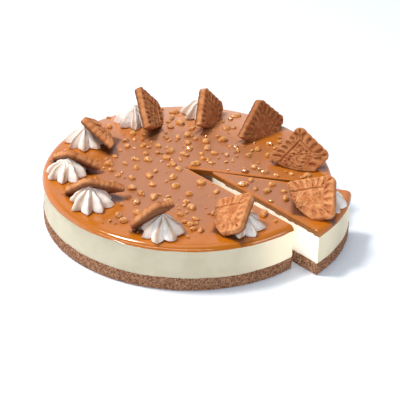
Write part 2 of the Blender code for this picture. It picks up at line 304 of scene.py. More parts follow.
def paintCheese(graph):
    near, cut = marked(graph, "near"), marked(graph, "cut")
    dragged = marked(graph, "dragged") * cut
    body = graph.painted(
        cheeseLook, "body", (grain(graph, 60, 3).step(0.35, 0.7), "shade"),
        (near * 0.8, "near"), (cut, "cut"), (dragged * 0.9, "dragged"),
    )
    # painted glow on the side near the cuts and on the cut faces
    glow = graph.mix(near, noLight, cheeseLook["paintedSideGlow"])
    glow = graph.mix(cut, glow, cheeseLook["glow"])
    fine = grain(graph, 700, 3)
    return {
        "Base Color": body,
        "Roughness": 0.5 + fine * 0.12,
        "Specular IOR Level": 0.35,
        "Subsurface Weight": 0.25,
        "Subsurface Radius": (0.004, 0.003, 0.0018),
        "Subsurface Scale": 1.0,
        "Emission Color": graph.mix(dragged, glow, noLight),
        "Emission Strength": 1.0,
        "Normal": bumped(graph, grain(graph, 260, 3) + fine * 0.4, 0.00025, 0.45),
    }


crumbLook = {"brown": (180, 128, 94), "dark": (122, 80, 56), "pale": (222, 182, 150)}


def paintCrumb(graph):
    tint, cut = marked(graph, "tint"), marked(graph, "cut")
    speckle = graph.add("ShaderNodeSeparateColor", {}, {0: cells(graph, 900, "Color")})
    patch = grain(graph, 700, 3)
    pale = speckle.step(0.6, 0.95) * (0.35 + cut * 0.35) + tint.step(0.62, 0.95) * 0.7
    return {
        "Base Color": graph.painted(crumbLook, "dark", (patch.step(0.4, 0.6), "brown"), (pale, "pale")),
        "Roughness": 0.86,
        "Specular IOR Level": 0.25,
        "Normal": bumped(graph, patch + cells(graph, 1300) * 0.6, 0.0005, 0.8),
    }


creamLook = {"crestHighlight": (255, 252, 248), "body": (242, 231, 220), "valleyShade": (190, 160, 134)}


def paintCream(graph):
    crest = marked(graph, "crest")
    # painted shade in the valleys between the crests and a painted highlight along the crests
    body = graph.painted(creamLook, "valleyShade", (crest.step(0.0, 0.4), "body"), (crest.step(0.55, 0.9), "crestHighlight"))
    return {
        "Base Color": body,
        "Roughness": 0.42 + grain(graph, 220, 2) * 0.12,
        "Specular IOR Level": 0.4,
        "Subsurface Weight": 0.15,
        "Subsurface Radius": (0.003, 0.0025, 0.002),
        "Subsurface Scale": 0.6,
        "Normal": bumped(graph, grain(graph, 900, 2), 0.0001, 0.3),
    }


biscuitLook = {"body": (206, 130, 77), "pale": (234, 166, 110), "brown": (146, 82, 42), "dark": (92, 46, 22)}


def paintBiscuit(graph):
    sugar = grain(graph, 1400, 3, 0.65)
    # dark specks where the bump sinks small pits: painted shade in the hollows
    pits = cells(graph, 620)
    # The colour holds painted shade: in the slots, in the pits, on biscuits facing away from the light, and,
    # with their own darker baking, on the undersides.
    body = graph.painted(
        biscuitLook, "body", (grain(graph, 170, 3).step(0.38, 0.68), "pale"),
        (sugar.step(0.5, 0.72) * 0.55, "brown"), (marked(graph, "bake"), "brown"),
        (marked(graph, "groove") * 0.45, "brown"), (marked(graph, "pit") * 0.6, "dark"),
        (pits.step(0.0, 0.22) * -0.5 + 0.5, "dark"), (marked(graph, "broken") * 0.35, "brown"),
        (marked(graph, "under") * 0.75, "dark"),
    )
    return {
        "Base Color": body,
        "Roughness": 0.82,
        "Specular IOR Level": 0.3,
        "Normal": bumped(graph, sugar * 0.8 + pits.step(0.0, 0.3) * 0.6, 0.0005, 0.7),
    }


caramelMaterial = makeMaterial("setCaramel", paintCaramel)
nuggetMaterial = makeMaterial("toffeeNugget", paintNuggets)
cheeseMaterial = makeMaterial("bakedCheese", paintCheese)
crumbMaterial = makeMaterial("pressedCrumb", paintCrumb)
creamMaterial = makeMaterial("pipedCream", paintCream)
biscuitMaterial = makeMaterial("spicedBiscuit", paintBiscuit)
print("materials made")


scene = bpy.context.scene


def newObject(name, data):
    made = bpy.data.objects.new(name, data)
    scene.collection.objects.link(made)
    return made


def makePiece(name, mesh, material, slot, *replaced):
    if not mesh.materials:
        mesh.materials.append(material)
    piece = newObject(name, mesh)
    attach(piece, "root")
    if replaced:
        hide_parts(*replaced)
    return piece


def mark(mesh, label, values):
    mesh.attributes.new(label, "FLOAT", "POINT").data.foreach_set("value", values)


def shade(mesh, crease):
    mesh.shade_smooth()
    mesh.set_sharp_from_angle(angle=math.radians(crease))


def meshOf(name, points, faces, marks, crease):
    mesh = bpy.data.meshes.new(name)
    mesh.from_pydata(points, [], faces)
    for label, values in marks.items():
        mark(mesh, label, values)
    bm = bmesh.new()
    bm.from_mesh(mesh)
    bmesh.ops.recalc_face_normals(bm, faces=bm.faces)
    bm.to_mesh(mesh)
    bm.free()
    shade(mesh, crease)
    return mesh


# Toppings: where they lie, by the same rules as the solids

rosetteRows = (  # distance mm, direction, petal direction, petals, height mm, lean of the tip mm
    (88.4, -142.1, -101, 8, 15.6, -1.3),
    (92.4, -173.4, -100, 8, 14.1, 2.8),
    (90.5, 153.2, -89, 8, 14.2, -1.2),
    (89.6, 119.6, -80, 8, 15.3, 0.7),
    (92.0, 83.5, -97, 8, 15.0, -0.8),
    (90.5, 49.5, -85, 8, 15.0, 0.0),
    (91.0, 13.0, -95, 8, 15.0, 0.0),
    (94.8, -22.3, -10, 8, 15.0, 0.0),
    (92.3, -64.4, -93, 8, 15.0, -0.6),
    (93.4, -100.7, -103, 7, 15.9, 0.7),
)
biscuitRows = (  # highest corner mm, facing, lean, turn, long side, short side, bulge mm
    ((-73.4, -59.2, 20.3), 91.0, 47.3, -56.5, 33.6, 8.0, 2.0),
    ((-90.4, -14.2, 18.1), 66.6, 46.0, -44.1, 28.5, 8.0, 2.0),
    ((-85.6, 35.3, 21.6), 23.1, 43.2, -47.7, 33.5, 14.6, 1.5),
    ((-44.9, 81.5, 29.5), -4.0, 58.6, -57.8, 41.5, 20.5, 2.5),
    ((8.2, 83.2, 30.5), -22.8, 72.0, -49.3, 34.0, 20.0, 2.0),
    ((53.6, 66.7, 30.4), -48.0, 76.5, -46.0, 35.8, 22.1, 2.5),
    ((87.0, 26.6, 26.8), -104.1, 56.8, -36.3, 35.0, 17.5, 4.0),
    ((109.9, -45.1, 21.9), -133.1, 42.0, -58.2, 35.5, 17.0, 6.0),
    ((50.3, -74.0, 21.9), -165.7, 39.5, -39.6, 31.0, 18.0, 6.0),
    ((-20.9, -103.0, 26.1), 121.2, 50.6, -71.0, 18.5, 8.0, 1.0),
)
drawnRosette = 7
biscuitSize = {
    "width": 0.034,
    "thickness": 0.0060,
    "corner": 0.0052,
    "sidePitch": 0.0050,
    "endPitch": 0.0064,
    "slotDepth": 0.0015,
    "slotMiddle": 0.0046,
    "slotHalf": 0.0034,
    "slotShare": 0.56,
    "border": 0.0084,
    "panelDepth": 0.0012,
    "scallop": 0.0004,
    "belly": 0.00045,
    "slotSteps": 12,
    "brokenSteps": 72,
    "sideSteps": 11,
    "centreSteps": 15,
}
# how strong the painted shade in the slots is, biscuit by biscuit
slotShadeShares = (0.8, 0.8, 0.9, 1.0, 1.0, 1.0, 0.55, 0.55, 0.35, 0.8)
# painted shade: the biscuits that face away from the light are coloured darker
facingShadeShares = (0.12, 0.12, 0.15, 0.35, 0.2, 0.5, 0.35, 0.0, 0.05, 0.12)


def rosetteCentre(index):
    distance, direction = rosetteRows[index][:2]
    cx, cy = portions["drawn" if index == drawnRosette else "standing"]["centre"]
    angle = math.radians(direction)
    return cx + distance * mm * math.cos(angle), cy + distance * mm * math.sin(angle)


def leanMatrix(index):
    (x, y, height), facing, lean, turn, *_ = biscuitRows[index]
    spot = Matrix.Translation((x * mm + axisX, y * mm, cakeTop + height * mm))
    swing = Matrix.Rotation(math.radians(facing + 90), 4, "Z")
    tilt = Matrix.Rotation(math.radians(lean), 4, "X")
    spin = Matrix.Rotation(math.radians(turn), 4, "Z")
    return spot @ swing @ tilt @ spin


rosetteCentres = [rosetteCentre(index) for index in range(len(rosetteRows))]
leanings = [leanMatrix(index) for index in range(len(biscuitRows))]
leaningsBack = [matrix.inverted() for matrix in leanings]


def rosetteDistance(x, y):
    # from a spot on the caramel to the middle of the nearest rosette
    return min(math.hypot(x - cx, y - cy) for cx, cy in rosetteCentres)


# Layers: each is a fan of rays from the point where the cuts meet, out to the round side

baseRaise = 0.0008  # the dressed base stands this much higher than its solid


def rayLength(portion, angle, radius):
    dx = portion["apex"][0] - portion["centre"][0]
    dy = portion["apex"][1] - portion["centre"][1]
    along = dx * math.cos(angle) + dy * math.sin(angle)
    return -along + math.sqrt(along * along - dx * dx - dy * dy + radius * radius)


def tipLength(portion, angle):
    # the drawn slice's point is cut square between its two sides
    half = math.radians(portion["end"] - portion["start"]) / 2
    middle = math.radians(portion["end"] + portion["start"]) / 2
    return portion["tip"] * math.cos(half) / math.cos(angle - middle) if portion["tip"] else 0.0


def rayAngles(portion, cell):
    start, end = math.radians(portion["start"]), math.radians(portion["end"])
    count = round((end - start) * cakeRadius / cell)
    near = [share * mm / cakeRadius for share in (0.12, 0.3, 0.55, 0.9)]
    angles = [start + (end - start) * i / count for i in range(1, count)]
    angles = [a for a in angles if start + near[-1] * 1.3 < a < end - near[-1] * 1.3]
    return [start] + [start + n for n in near] + angles + [end - n for n in reversed(near)] + [end]


def cutDistance(angle, cut, reach):
    # how far a point is from one cut; far away for all points on the other half
    turn = (angle - cut + math.pi) % math.tau - math.pi
    return abs(math.sin(turn)) * reach if abs(turn) < math.pi / 2 else 1.0


def layerMesh(portion, rows, cell, rings, filled, shift):
    # rows are (outset, height) from the top of the round side to its bottom; shift moves each point
    angles = rayAngles(portion, cell)
    last = len(angles) - 1
    points, keys, marks = [], {}, {"cut": [], "near": [], "dragged": []}

    def point(k, i, j):
        if i == 0 and not portion["tip"]:
            k = 0
        if (k, i, j) in keys:
            return keys[k, i, j]
        angle = angles[k]
        start = tipLength(portion, angle)
        outer = rayLength(portion, angle, cakeRadius + rows[j][0])
        reach = start + (outer - start) * i / rings
        x = portion["apex"][0] + reach * math.cos(angle)
        y = portion["apex"][1] + reach * math.sin(angle)
        onCut = k in (0, last)
        onSide = i == rings
        cutGap = min(cutDistance(angle, angles[0], reach), cutDistance(angle, angles[last], reach))
        out = Vector((x, y, 0.0)).normalized()
        turn = Vector((-out.y, out.x, 0.0))
        spot = Vector((x, y, rows[j][1]))
        spot = shift(spot, out, turn, onCut, onSide, cutGap, j / (len(rows) - 1))
        points.append((spot.x + axisX, spot.y, spot.z))
        marks["cut"].append(1.0 if onCut else 0.0)
        # 1 at a cut, gone 50 mm from it: the filling takes painted light from this
        marks["near"].append(1 - smooth(cutGap, 0.002, 0.050))
        # painted shade on the cut faces near the point, out to the portion's reach
        marks["dragged"].append(1 - smooth(reach, portion["dragged"] - 0.005, portion["dragged"]))
        keys[k, i, j] = len(points) - 1
        return keys[k, i, j]

    faces = []

    def quad(*corners):
        loop = list(dict.fromkeys(point(*corner) for corner in corners))
        if len(loop) > 2:
            faces.append(loop)

    bottom = len(rows) - 1
    for k in range(last):
        for i in range(rings if filled else 0):
            quad((k, i, 0), (k, i + 1, 0), (k + 1, i + 1, 0), (k + 1, i, 0))
        for j in range(bottom):
            quad((k, rings, j), (k, rings, j + 1), (k + 1, rings, j + 1), (k + 1, rings, j))
            if portion["tip"]:
                quad((k, 0, j), (k + 1, 0, j), (k + 1, 0, j + 1), (k, 0, j + 1))
    for i in range(rings):
        for j in range(bottom):
            quad((0, i, j), (0, i, j + 1), (0, i + 1, j + 1), (0, i + 1, j))
            quad((last, i, j), (last, i + 1, j), (last, i + 1, j + 1), (last, i, j + 1))

    def rim(j):
        loop = [point(0, i, j) for i in range(rings)] + [point(k, rings, j) for k in range(last)]
        loop += [point(last, i, j) for i in range(rings, 0, -1)]
        if portion["tip"]:
            loop += [point(k, 0, j) for k in range(last, 0, -1)]
        return list(dict.fromkeys(loop))

    faces.append(list(reversed(rim(bottom))))
    if not filled:
        faces.append(rim(0))
    return points, faces, marks


crumbSize = {
    "steps": 14,
    "flare": 0.0005,
    "edge": 0.0010,
    "fine": 0.00030,
    "coarse": 0.00025,
    "cutFine": 0.00035,
    "wave": 0.0009,
}


def crumbRows():
    size = crumbSize
    top, count = baseTop + baseRaise, size["steps"]
    rows = [(size["flare"] - size["edge"], top)]
    rows += [
        (size["flare"] - 0.0003 * abs(2 * i / count - 1) ** 3, mixed(top - 0.0004, 0.0006, i / count))
        for i in range(count + 1)
    ]
    return rows + [(size["flare"] - size["edge"], 0.0)]


def crumbShift(spot, out, turn, onCut, onSide, cutGap, depth):
    size = crumbSize
    if spot.z <= 0.0:
        return spot
    rough = noise(spot * 900) * size["fine"] + noise(spot * 320) * size["coarse"]
    if onSide:
        spot = spot + out * (rough - 0.0002)
        wave = 0.5 + noise(out * 4.2) + 0.5 * noise(out * 17)
        spot.z += size["wave"] * wave * smooth(spot.z, 0.004, baseTop) * smooth(cutGap, 0.0005, 0.004)
    if onCut:
        spot = spot + turn * (noise(spot * 700) * size["cutFine"])
    return spot


cheeseSize = {
    "steps": 12,
    "lipRaise": 0.0024,
    "fine": 0.00008,
    "coarse": 0.00035,
    "cutCoarse": 0.00018,
    "footWave": 0.0004,
}


def cheeseRows():
    top, bottom, count = caramelBottom + jointGap, baseTop + baseRaise - jointGap, cheeseSize["steps"]
    rows = [(-0.0006, top)]
    rows += [(0.0, mixed(top - 0.0006, bottom + 0.0005, i / count)) for i in range(count + 1)]
    return rows + [(-0.0004, bottom)]


def cheeseShift(spot, out, turn, onCut, onSide, cutGap, depth):
    size = cheeseSize
    level = Vector((spot.x, spot.y, spot.z * 3))
    if onSide:
        spot = spot + out * (noise(level * 55) * size["coarse"] + noise(level * 240) * size["fine"])
        spot.z += size["lipRaise"] * (1 - smooth(depth, 0.0, 0.3)) * smooth(cutGap, 0.0002, 0.003)
    if onCut:
        spot = spot + turn * (noise(level * 160) * size["cutCoarse"])
    if depth > 0.95:
        spot.z += size["footWave"] * noise(Vector((spot.x, spot.y, 0)) * 130)
    return spot


caramelSize = {
    "cutRound": 0.0007,
    "shoulder": 0.0042,
    "bulge": 0.0005,
    "steps": 9,
    "droop": 0.0013,
    "raise": 0.0010,
    "edgeOut": 0.00025,
    "wave": 0.00012,
    "cutCoarse": 0.00020,
    "cutFringe": 0.0009,
}


def caramelRows():
    size = caramelSize
    rows = []
    for i in range(size["steps"] + 1):
        angle = math.radians(90 - 88 * i / size["steps"])
        rows.append((
            size["bulge"] - size["shoulder"] * (1 - math.cos(angle)),
            cakeTop - size["shoulder"] * (1 - math.sin(angle)),
        ))
    low = rows[-1][1]
    rows += [(size["bulge"], mixed(low, caramelBottom, 0.5)), (size["bulge"] * 0.4, caramelBottom)]
    return rows + [(-0.0006, caramelBottom + 0.0001)]


def caramelShift(spot, out, turn, onCut, onSide, cutGap, depth):
    size = caramelSize
    flat = Vector((spot.x, spot.y, 0.0))
    wave = noise(flat * 38) + 0.5 * noise(flat * 90)
    rise = smooth(spot.z, caramelBottom + 0.001, cakeTop)
    spot.z += size["wave"] * wave * rise
    edge = size["cutRound"]
    if cutGap < edge:
        drop = edge - math.sqrt(max(0.0, edge * edge - (edge - cutGap) ** 2))
        spot.z -= drop * smooth(spot.z, cakeTop - 0.0026, cakeTop)
    if onSide and depth > 0.6:
        share = smooth(depth, 0.6, 1.0)
        angle = math.atan2(spot.y, spot.x)
        ring = Vector((math.cos(angle), math.sin(angle), 0.0))
        droop = noise(ring * 3.1 + Vector((4.0, 0.0, 0.0))) + 0.6 * noise(ring * 9)
        spot.z -= size["droop"] * share * droop
        spot.z += size["raise"] * share * smooth(cutGap, 0.0005, 0.006)
        spot += out * (size["edgeOut"] * share)
    if onCut:
        spot += turn * (size["cutCoarse"] * noise(spot * 210))
        spot.z -= smooth(depth, 0.7, 1.0) * size["cutFringe"] * (0.4 + noise(flat * 190))
    return spot


def sheenlessShare(x, y):
    # 1 where the caramel shows its own strong orange, free of the painted sheen: by the rim and round the
    # toppings
    radius = math.hypot(x, y)
    cloud = 0.5 * noise(Vector((x, y, 0)) * 60)
    rim = smooth(radius / cakeRadius + 0.14 * cloud, 0.72, 0.93) * mixed(1.0, 0.2, smooth(y, 0.01, 0.08))
    near = 1 - smooth(rosetteDistance(x, y) + 0.010 * cloud, 0.015, 0.039)
    return max(rim, 0.95 * near)


def rimShare(x, y):
    # 1 on the glossy shoulder at the front
    return smooth(math.hypot(x, y) - cakeRadius, -0.0045, -0.0020) * smooth(-y, 0.040, 0.080)


def underBiscuitShadeAt(x, y):
    # painted shade: 1 where a leaning biscuit comes down on the caramel, 0 from 16 mm under it
    deepest = 0.0
    spot = Vector((x, y, cakeTop))
    for index, matrix in enumerate(leanings):
        normal = matrix.to_3x3() @ Vector((0.0, 0.0, 1.0))
        height = (matrix.translation - spot).dot(normal) / normal.z
        local = leaningsBack[index] @ (spot + Vector((0.0, 0.0, height)))
        over = min(local.x, biscuitSize["width"] - local.x, -local.y, local.y + biscuitRows[index][4] * mm)
        deepest = max(deepest, (1 - smooth(height, 0.004, 0.016)) * smooth(over, -0.0018, 0.0015))
    return deepest


def caramelMarks(points, near, centre):
    spots = [(x - axisX - centre[0], y - centre[1]) for x, y, z in points]
    # the strong orange without painted sheen also runs along the cut edges
    cutSheenless = [0.75 * smooth(value, 0.9955, 0.9995) for value in near]
    return {
        "warm": [max(sheenlessShare(*spot), warm) for spot, warm in zip(spots, cutSheenless)],
        "rim": [rimShare(*spot) for spot in spots],
        # painted reflection: paler towards the back of the cake
        "haze": [smooth(y, 0.045, 0.100) for x, y, z in points],
        # painted shade under the leaning biscuits
        "pooled": [underBiscuitShadeAt(x, y) for x, y, z in points],
    }


layers = (  # piece, solid, slot, rows, shift, cell, rings, whether the top is meshed, crease, material
    ("crumbBase", "crumb_base", "crumb", crumbRows, crumbShift, 0.0009, 110, False, 70, crumbMaterial),
    ("filling", "cheesecake", "cheese", cheeseRows, cheeseShift, 0.0016, 70, False, 50, cheeseMaterial),
    ("caramelSheet", "caramel_top", "caramel", caramelRows, caramelShift, 0.0020, 64, True, 50,
     caramelMaterial),
)
for label, portion in portions.items():
    drawnOut = label == "drawn"
    for name, node, slot, rows, shift, cell, rings, filled, crease, material in layers:
        if drawnOut:
            name, node = "slice" + name[0].upper() + name[1:], "slice_" + node
        points, faces, marks = layerMesh(portion, rows(), cell, rings, filled, shift)
        if slot == "cheese" and drawnOut:
            # the drawn slice's side gets weaker painted light
            marks["near"] = [near * 0.4 for near in marks["near"]]
        if slot == "caramel":
            marks.update(caramelMarks(points, marks["near"], portion["centre"]))
        mesh = meshOf(name, points, faces, marks, crease)
        makePiece(name, mesh, material, slot, node)
print("layers made")


# Geometry Nodes

def startTree(name, sizes):
    tree = bpy.data.node_groups.new(name, "GeometryNodeTree")
    tree.interface.new_socket("Geometry", in_out="INPUT", socket_type="NodeSocketGeometry")
    for label, value in sizes.items():
        kind = "NodeSocketInt" if isinstance(value, int) else "NodeSocketFloat"
        tree.interface.new_socket(label, in_out="INPUT", socket_type=kind).default_value = value
    tree.interface.new_socket("Geometry", in_out="OUTPUT", socket_type="NodeSocketGeometry")
    graph = Graph(tree)
    entry = tree.nodes.new("NodeGroupInput")
    return graph, {socket.name: Plug(graph, socket) for socket in entry.outputs if socket.name}


def endTree(graph, geometry, material):
    whole = graph.add("GeometryNodeRealizeInstances", {}, {"Geometry": geometry})
    painted = graph.add("GeometryNodeSetMaterial", {}, {"Geometry": whole, "Material": material})
    graph.add("NodeGroupOutput", {}, {0: painted})
    return graph.tree


def growFrom(name, start, tree, sizes):
    # the mesh that a tree makes of a start mesh, with these sizes in its named inputs
    piece = newObject(name, start)
    modifier = piece.modifiers.new(tree.name, "NODES")
    modifier.node_group = tree
    for item in tree.interface.items_tree:
        if item.item_type == "SOCKET" and item.in_out == "INPUT" and item.name in sizes:
            modifier[item.identifier] = sizes[item.name]
    depsgraph = bpy.context.evaluated_depsgraph_get()
    grown = piece.evaluated_get(depsgraph)
    mesh = bpy.data.meshes.new_from_object(grown, preserve_all_data_layers=True, depsgraph=depsgraph)
    bpy.data.objects.remove(piece, do_unlink=True)
    mesh.name = name
    return mesh


# Rosettes: a ball whose rings are drawn out into a star-piped dome

rosetteShape = {
    "Reach": 0.0157,
    "Height": 0.0150,
    "Petals": 8,
    "Steps": 112,
    "Levels": 46,
    "Ridge Depth": 0.20,
    "Crest Place": 8 / 14,
    "Petal Turn": 0.0,
    "Petal Spread": 0.10,
    "Petal Sway": 0.16,
    "Twist": math.radians(5),
    "Tip Lean": 0.0,
    "Unevenness": 0.0009,
    "Seed": 0.0,
}
rosetteOutline = (  # share of the height, share of the reach
    (0.0, 0.77), (0.07, 0.86), (0.2, 0.84), (0.38, 0.74), (0.6, 0.54), (0.78, 0.31), (0.89, 0.14),
    (0.95, 0.06), (1.0, 0.0),
)
footShare = 0.14  # of the ball's rings, flattened into the foot


def rosetteTree():
    graph, size = startTree("pipedRosette", rosetteShape)
    rings = {"Segments": size["Steps"], "Rings": size["Levels"], "Radius": 1.0}
    ball = graph.add("GeometryNodeMeshUVSphere", {}, rings, "Mesh")
    x = graph.parts(graph.add("GeometryNodeInputPosition"))
    y, z = x.other("Y"), x.other("Z")
    around = x.math("ARCTAN2", y, x)
    level = 1 - x.math("ARCCOSINE", x.math("MAXIMUM", x.math("MINIMUM", z, 1.0), -1.0)) / math.pi
    rise = level.math("MAXIMUM", (level - footShare) / (1 - footShare), 0.0)  # 0 at the foot, 1 at the tip
    foot = level.math("MINIMUM", level / footShare, 1.0)
    dome = graph.add("ShaderNodeFloatCurve", {"curve": rosetteOutline}, {"Value": rise})
    # each petal has one sharp crest, a broad side before it and a steep one after it
    petals = around * size["Petals"] / math.tau + 1.0001
    phase = petals.math("FRACT", petals)
    before = phase / size["Crest Place"]
    after = (1 - phase) / (1 - size["Crest Place"])
    shaped = before.math("MINIMUM", before, after) ** (0.65 + rise * 1.0)
    depth = size["Ridge Depth"] * (1.15 - rise * 0.2)
    number = graph.together(petals.math("FLOOR", petals), size["Seed"])
    chance = graph.add("ShaderNodeTexWhiteNoise", {"noise_dimensions": "2D"}, {0: number}, "Color")
    chance = graph.parts(chance)
    longer = 1 + (chance - 0.5) * shaped * size["Petal Spread"] * (1 - rise)
    radius = size["Reach"] * foot * dome * (1 + depth * (shaped * 2 - 1)) * longer
    sway = (chance.other("Y") - 0.5) * shaped * size["Petal Sway"]
    angle = around + size["Petal Turn"] + size["Twist"] * rise + sway
    side = graph.together(
        radius * angle.math("COSINE", angle) + size["Tip Lean"] * rise * rise,
        radius * angle.math("SINE", angle),
        size["Height"] * rise,
    )
    drawn = graph.add("GeometryNodeSetPosition", {}, {"Geometry": ball, "Position": side})
    # crest: 1 on a petal's crest, 0 in the valley; the cream paints shade and highlight from it
    withCrest = graph.stored(drawn, "crest", shaped)
    drift = {"W": size["Seed"], "Scale": 110.0, "Detail": 1.0}
    swayed = graph.add("ShaderNodeTexNoise", {"noise_dimensions": "4D"}, drift, "Color")
    centred = graph.vector("SUBTRACT", {0: swayed, 1: (0.5, 0.5, 0.5)})
    offset = graph.vector("SCALE", {0: centred, "Scale": size["Unevenness"] * 4})
    moved = graph.add("GeometryNodeSetPosition", {}, {"Geometry": withCrest, "Offset": offset})
    return endTree(graph, moved, creamMaterial)


def pressed(spot, index):
    # cream doesn't reach through the biscuit: it lies flat against the underside
    local = leaningsBack[index] @ spot
    longSide, shortSide, bulge = [length * mm for length in biscuitRows[index][4:7]]
    width = biscuitSize["width"]
    share = local.x / width
    end = -(longSide + (shortSide - longSide) * share) - 4 * bulge * share * (1 - share)
    inside = -0.0006 < local.x < width + 0.0006 and end - 0.0006 < local.y < 0.0006
    if inside and local.z > 0.0001:
        local.z = 0.0001
        return leanings[index] @ local
    return spot


cream = rosetteTree()
for index, (distance, direction, petal, petals, height, lean) in enumerate(rosetteRows):
    sizes = {
        "Petals": petals,
        "Steps": petals * 14,
        "Height": height * mm,
        "Petal Turn": math.radians(petal) - rosetteShape["Crest Place"] * math.tau / petals,
        "Tip Lean": lean * mm,
        "Seed": index * 3.7,
    }
    mesh = growFrom(f"rosette{index + 1}", bpy.data.meshes.new("cream"), cream, sizes)
    cx, cy = rosetteCentres[index]
    for vert in mesh.vertices:
        low = max(vert.co.z, 0.0)
        spot = Vector((vert.co.x + cx + axisX, vert.co.y + cy, low + cakeTop + 0.0001))
        vert.co = pressed(spot, index)
    shade(mesh, 36)
    makePiece(f"creamRosette{index + 1:02d}", mesh, creamMaterial, "cream", f"rosette_{index + 1:02d}")
print("rosettes piped")


# Biscuits

def biscuitRing(index, inset, brokenInset):
    # points (x, y, bar, broken) once round, clockwise: bar is 0 along a slot's middle and 1 between slots
    size = biscuitSize
    longSide, shortSide, bulge = [length * mm for length in biscuitRows[index][4:7]]
    width = size["width"]
    slope = (longSide - shortSide) / width
    corner = max(size["corner"] - inset, 0.0006)
    left, right, top = inset, width - inset, -inset
    lowLeft = -longSide + slope * left + brokenInset
    lowRight = -longSide + slope * right + brokenInset
    ring = []
    scallop = size["scallop"] * (1 - smooth(inset, 0.0, 0.0024))

    def barShare(phase):
        return abs(2 * (phase % 1.0) - 1)

    def straight(start, end, slots, inward):
        steps = slots * size["slotSteps"]
        for i in range(steps):
            share = i / steps
            bar = barShare(share * slots)
            recess = scallop * (1 - bar) ** 2
            x = mixed(start[0], end[0], share) + inward[0] * recess
            y = mixed(start[1], end[1], share) + inward[1] * recess
            ring.append((x, y, bar, 0.0))

    def arc(cx, cy, first):
        for i in range(size["slotSteps"]):
            bar = barShare(i / size["slotSteps"])
            angle = math.radians(first - 90 * i / size["slotSteps"])
            reach = corner - 0.3 * scallop * (1 - bar) ** 2
            ring.append((cx + reach * math.cos(angle), cy + reach * math.sin(angle), bar, 0.0))

    pitch, bend = size["sidePitch"], size["corner"]
    straight((left, lowLeft), (left, top - corner), round((longSide - bend) / pitch), (1, 0))
    arc(left + corner, top - corner, 180)
    endSlots = round((width - 2 * bend) / size["endPitch"])
    straight((left + corner, top), (right - corner, top), endSlots, (0, -1))
    arc(right - corner, top - corner, 90)
    shortSlots = max(1, round((shortSide - bend) / pitch))
    straight((right, top - corner), (right, lowRight), shortSlots, (-1, 0))
    for i in range(size["brokenSteps"]):
        share = i / size["brokenSteps"]
        x, y = mixed(right, left, share), mixed(lowRight, lowLeft, share)
        ring.append((x, y - 4 * bulge * share * (1 - share), 1.0, min(1.0, 8 * share, 8 * (1 - share))))
    return ring


def slotShare(inset, bar):
    # 1 in a slot's oval hollow, 0 on the bars, the rim and the panel
    size = biscuitSize
    oval = (bar / size["slotShare"]) ** 2 + ((inset - size["slotMiddle"]) / size["slotHalf"]) ** 2
    return 1 - smooth(oval, 0.5, 1.15)


def biscuitHeight(inset, bar):
    # the patterned face under full thickness: a rim, slots between bars, then a sunk panel
    size = biscuitSize
    scallop = (1 - bar) * (1 - smooth(inset, 0.0, 0.0022))
    edge = 0.0004 * (1 - smooth(inset, 0.0, 0.0012)) ** 2 + 0.0005 * scallop
    border = size["border"]
    panel = size["panelDepth"] * smooth(inset, border - 0.0004, border + 0.0003)
    lip = 0.0004 * smooth(inset, border + 0.0004, border + 0.0022)
    return -size["slotDepth"] * slotShare(inset, bar) - edge - panel + lip


faceInsets = [step * mm for step in (
    0.15, 0.4, 0.7, 1.1, 1.5, 1.9, 2.3, 2.7, 3.2, 3.7, 4.2, 4.7, 5.2, 5.7, 6.2, 6.6, 7.0, 7.4,
    7.7, 7.95, 8.1, 8.25, 8.4, 8.55, 8.7, 8.9, 9.3, 9.8,
)]
backInsets = [step * mm for step in (0.3, 0.8, 1.5, 2.4, 3.4, 4.5, 5.6, 6.8, 8.0)]


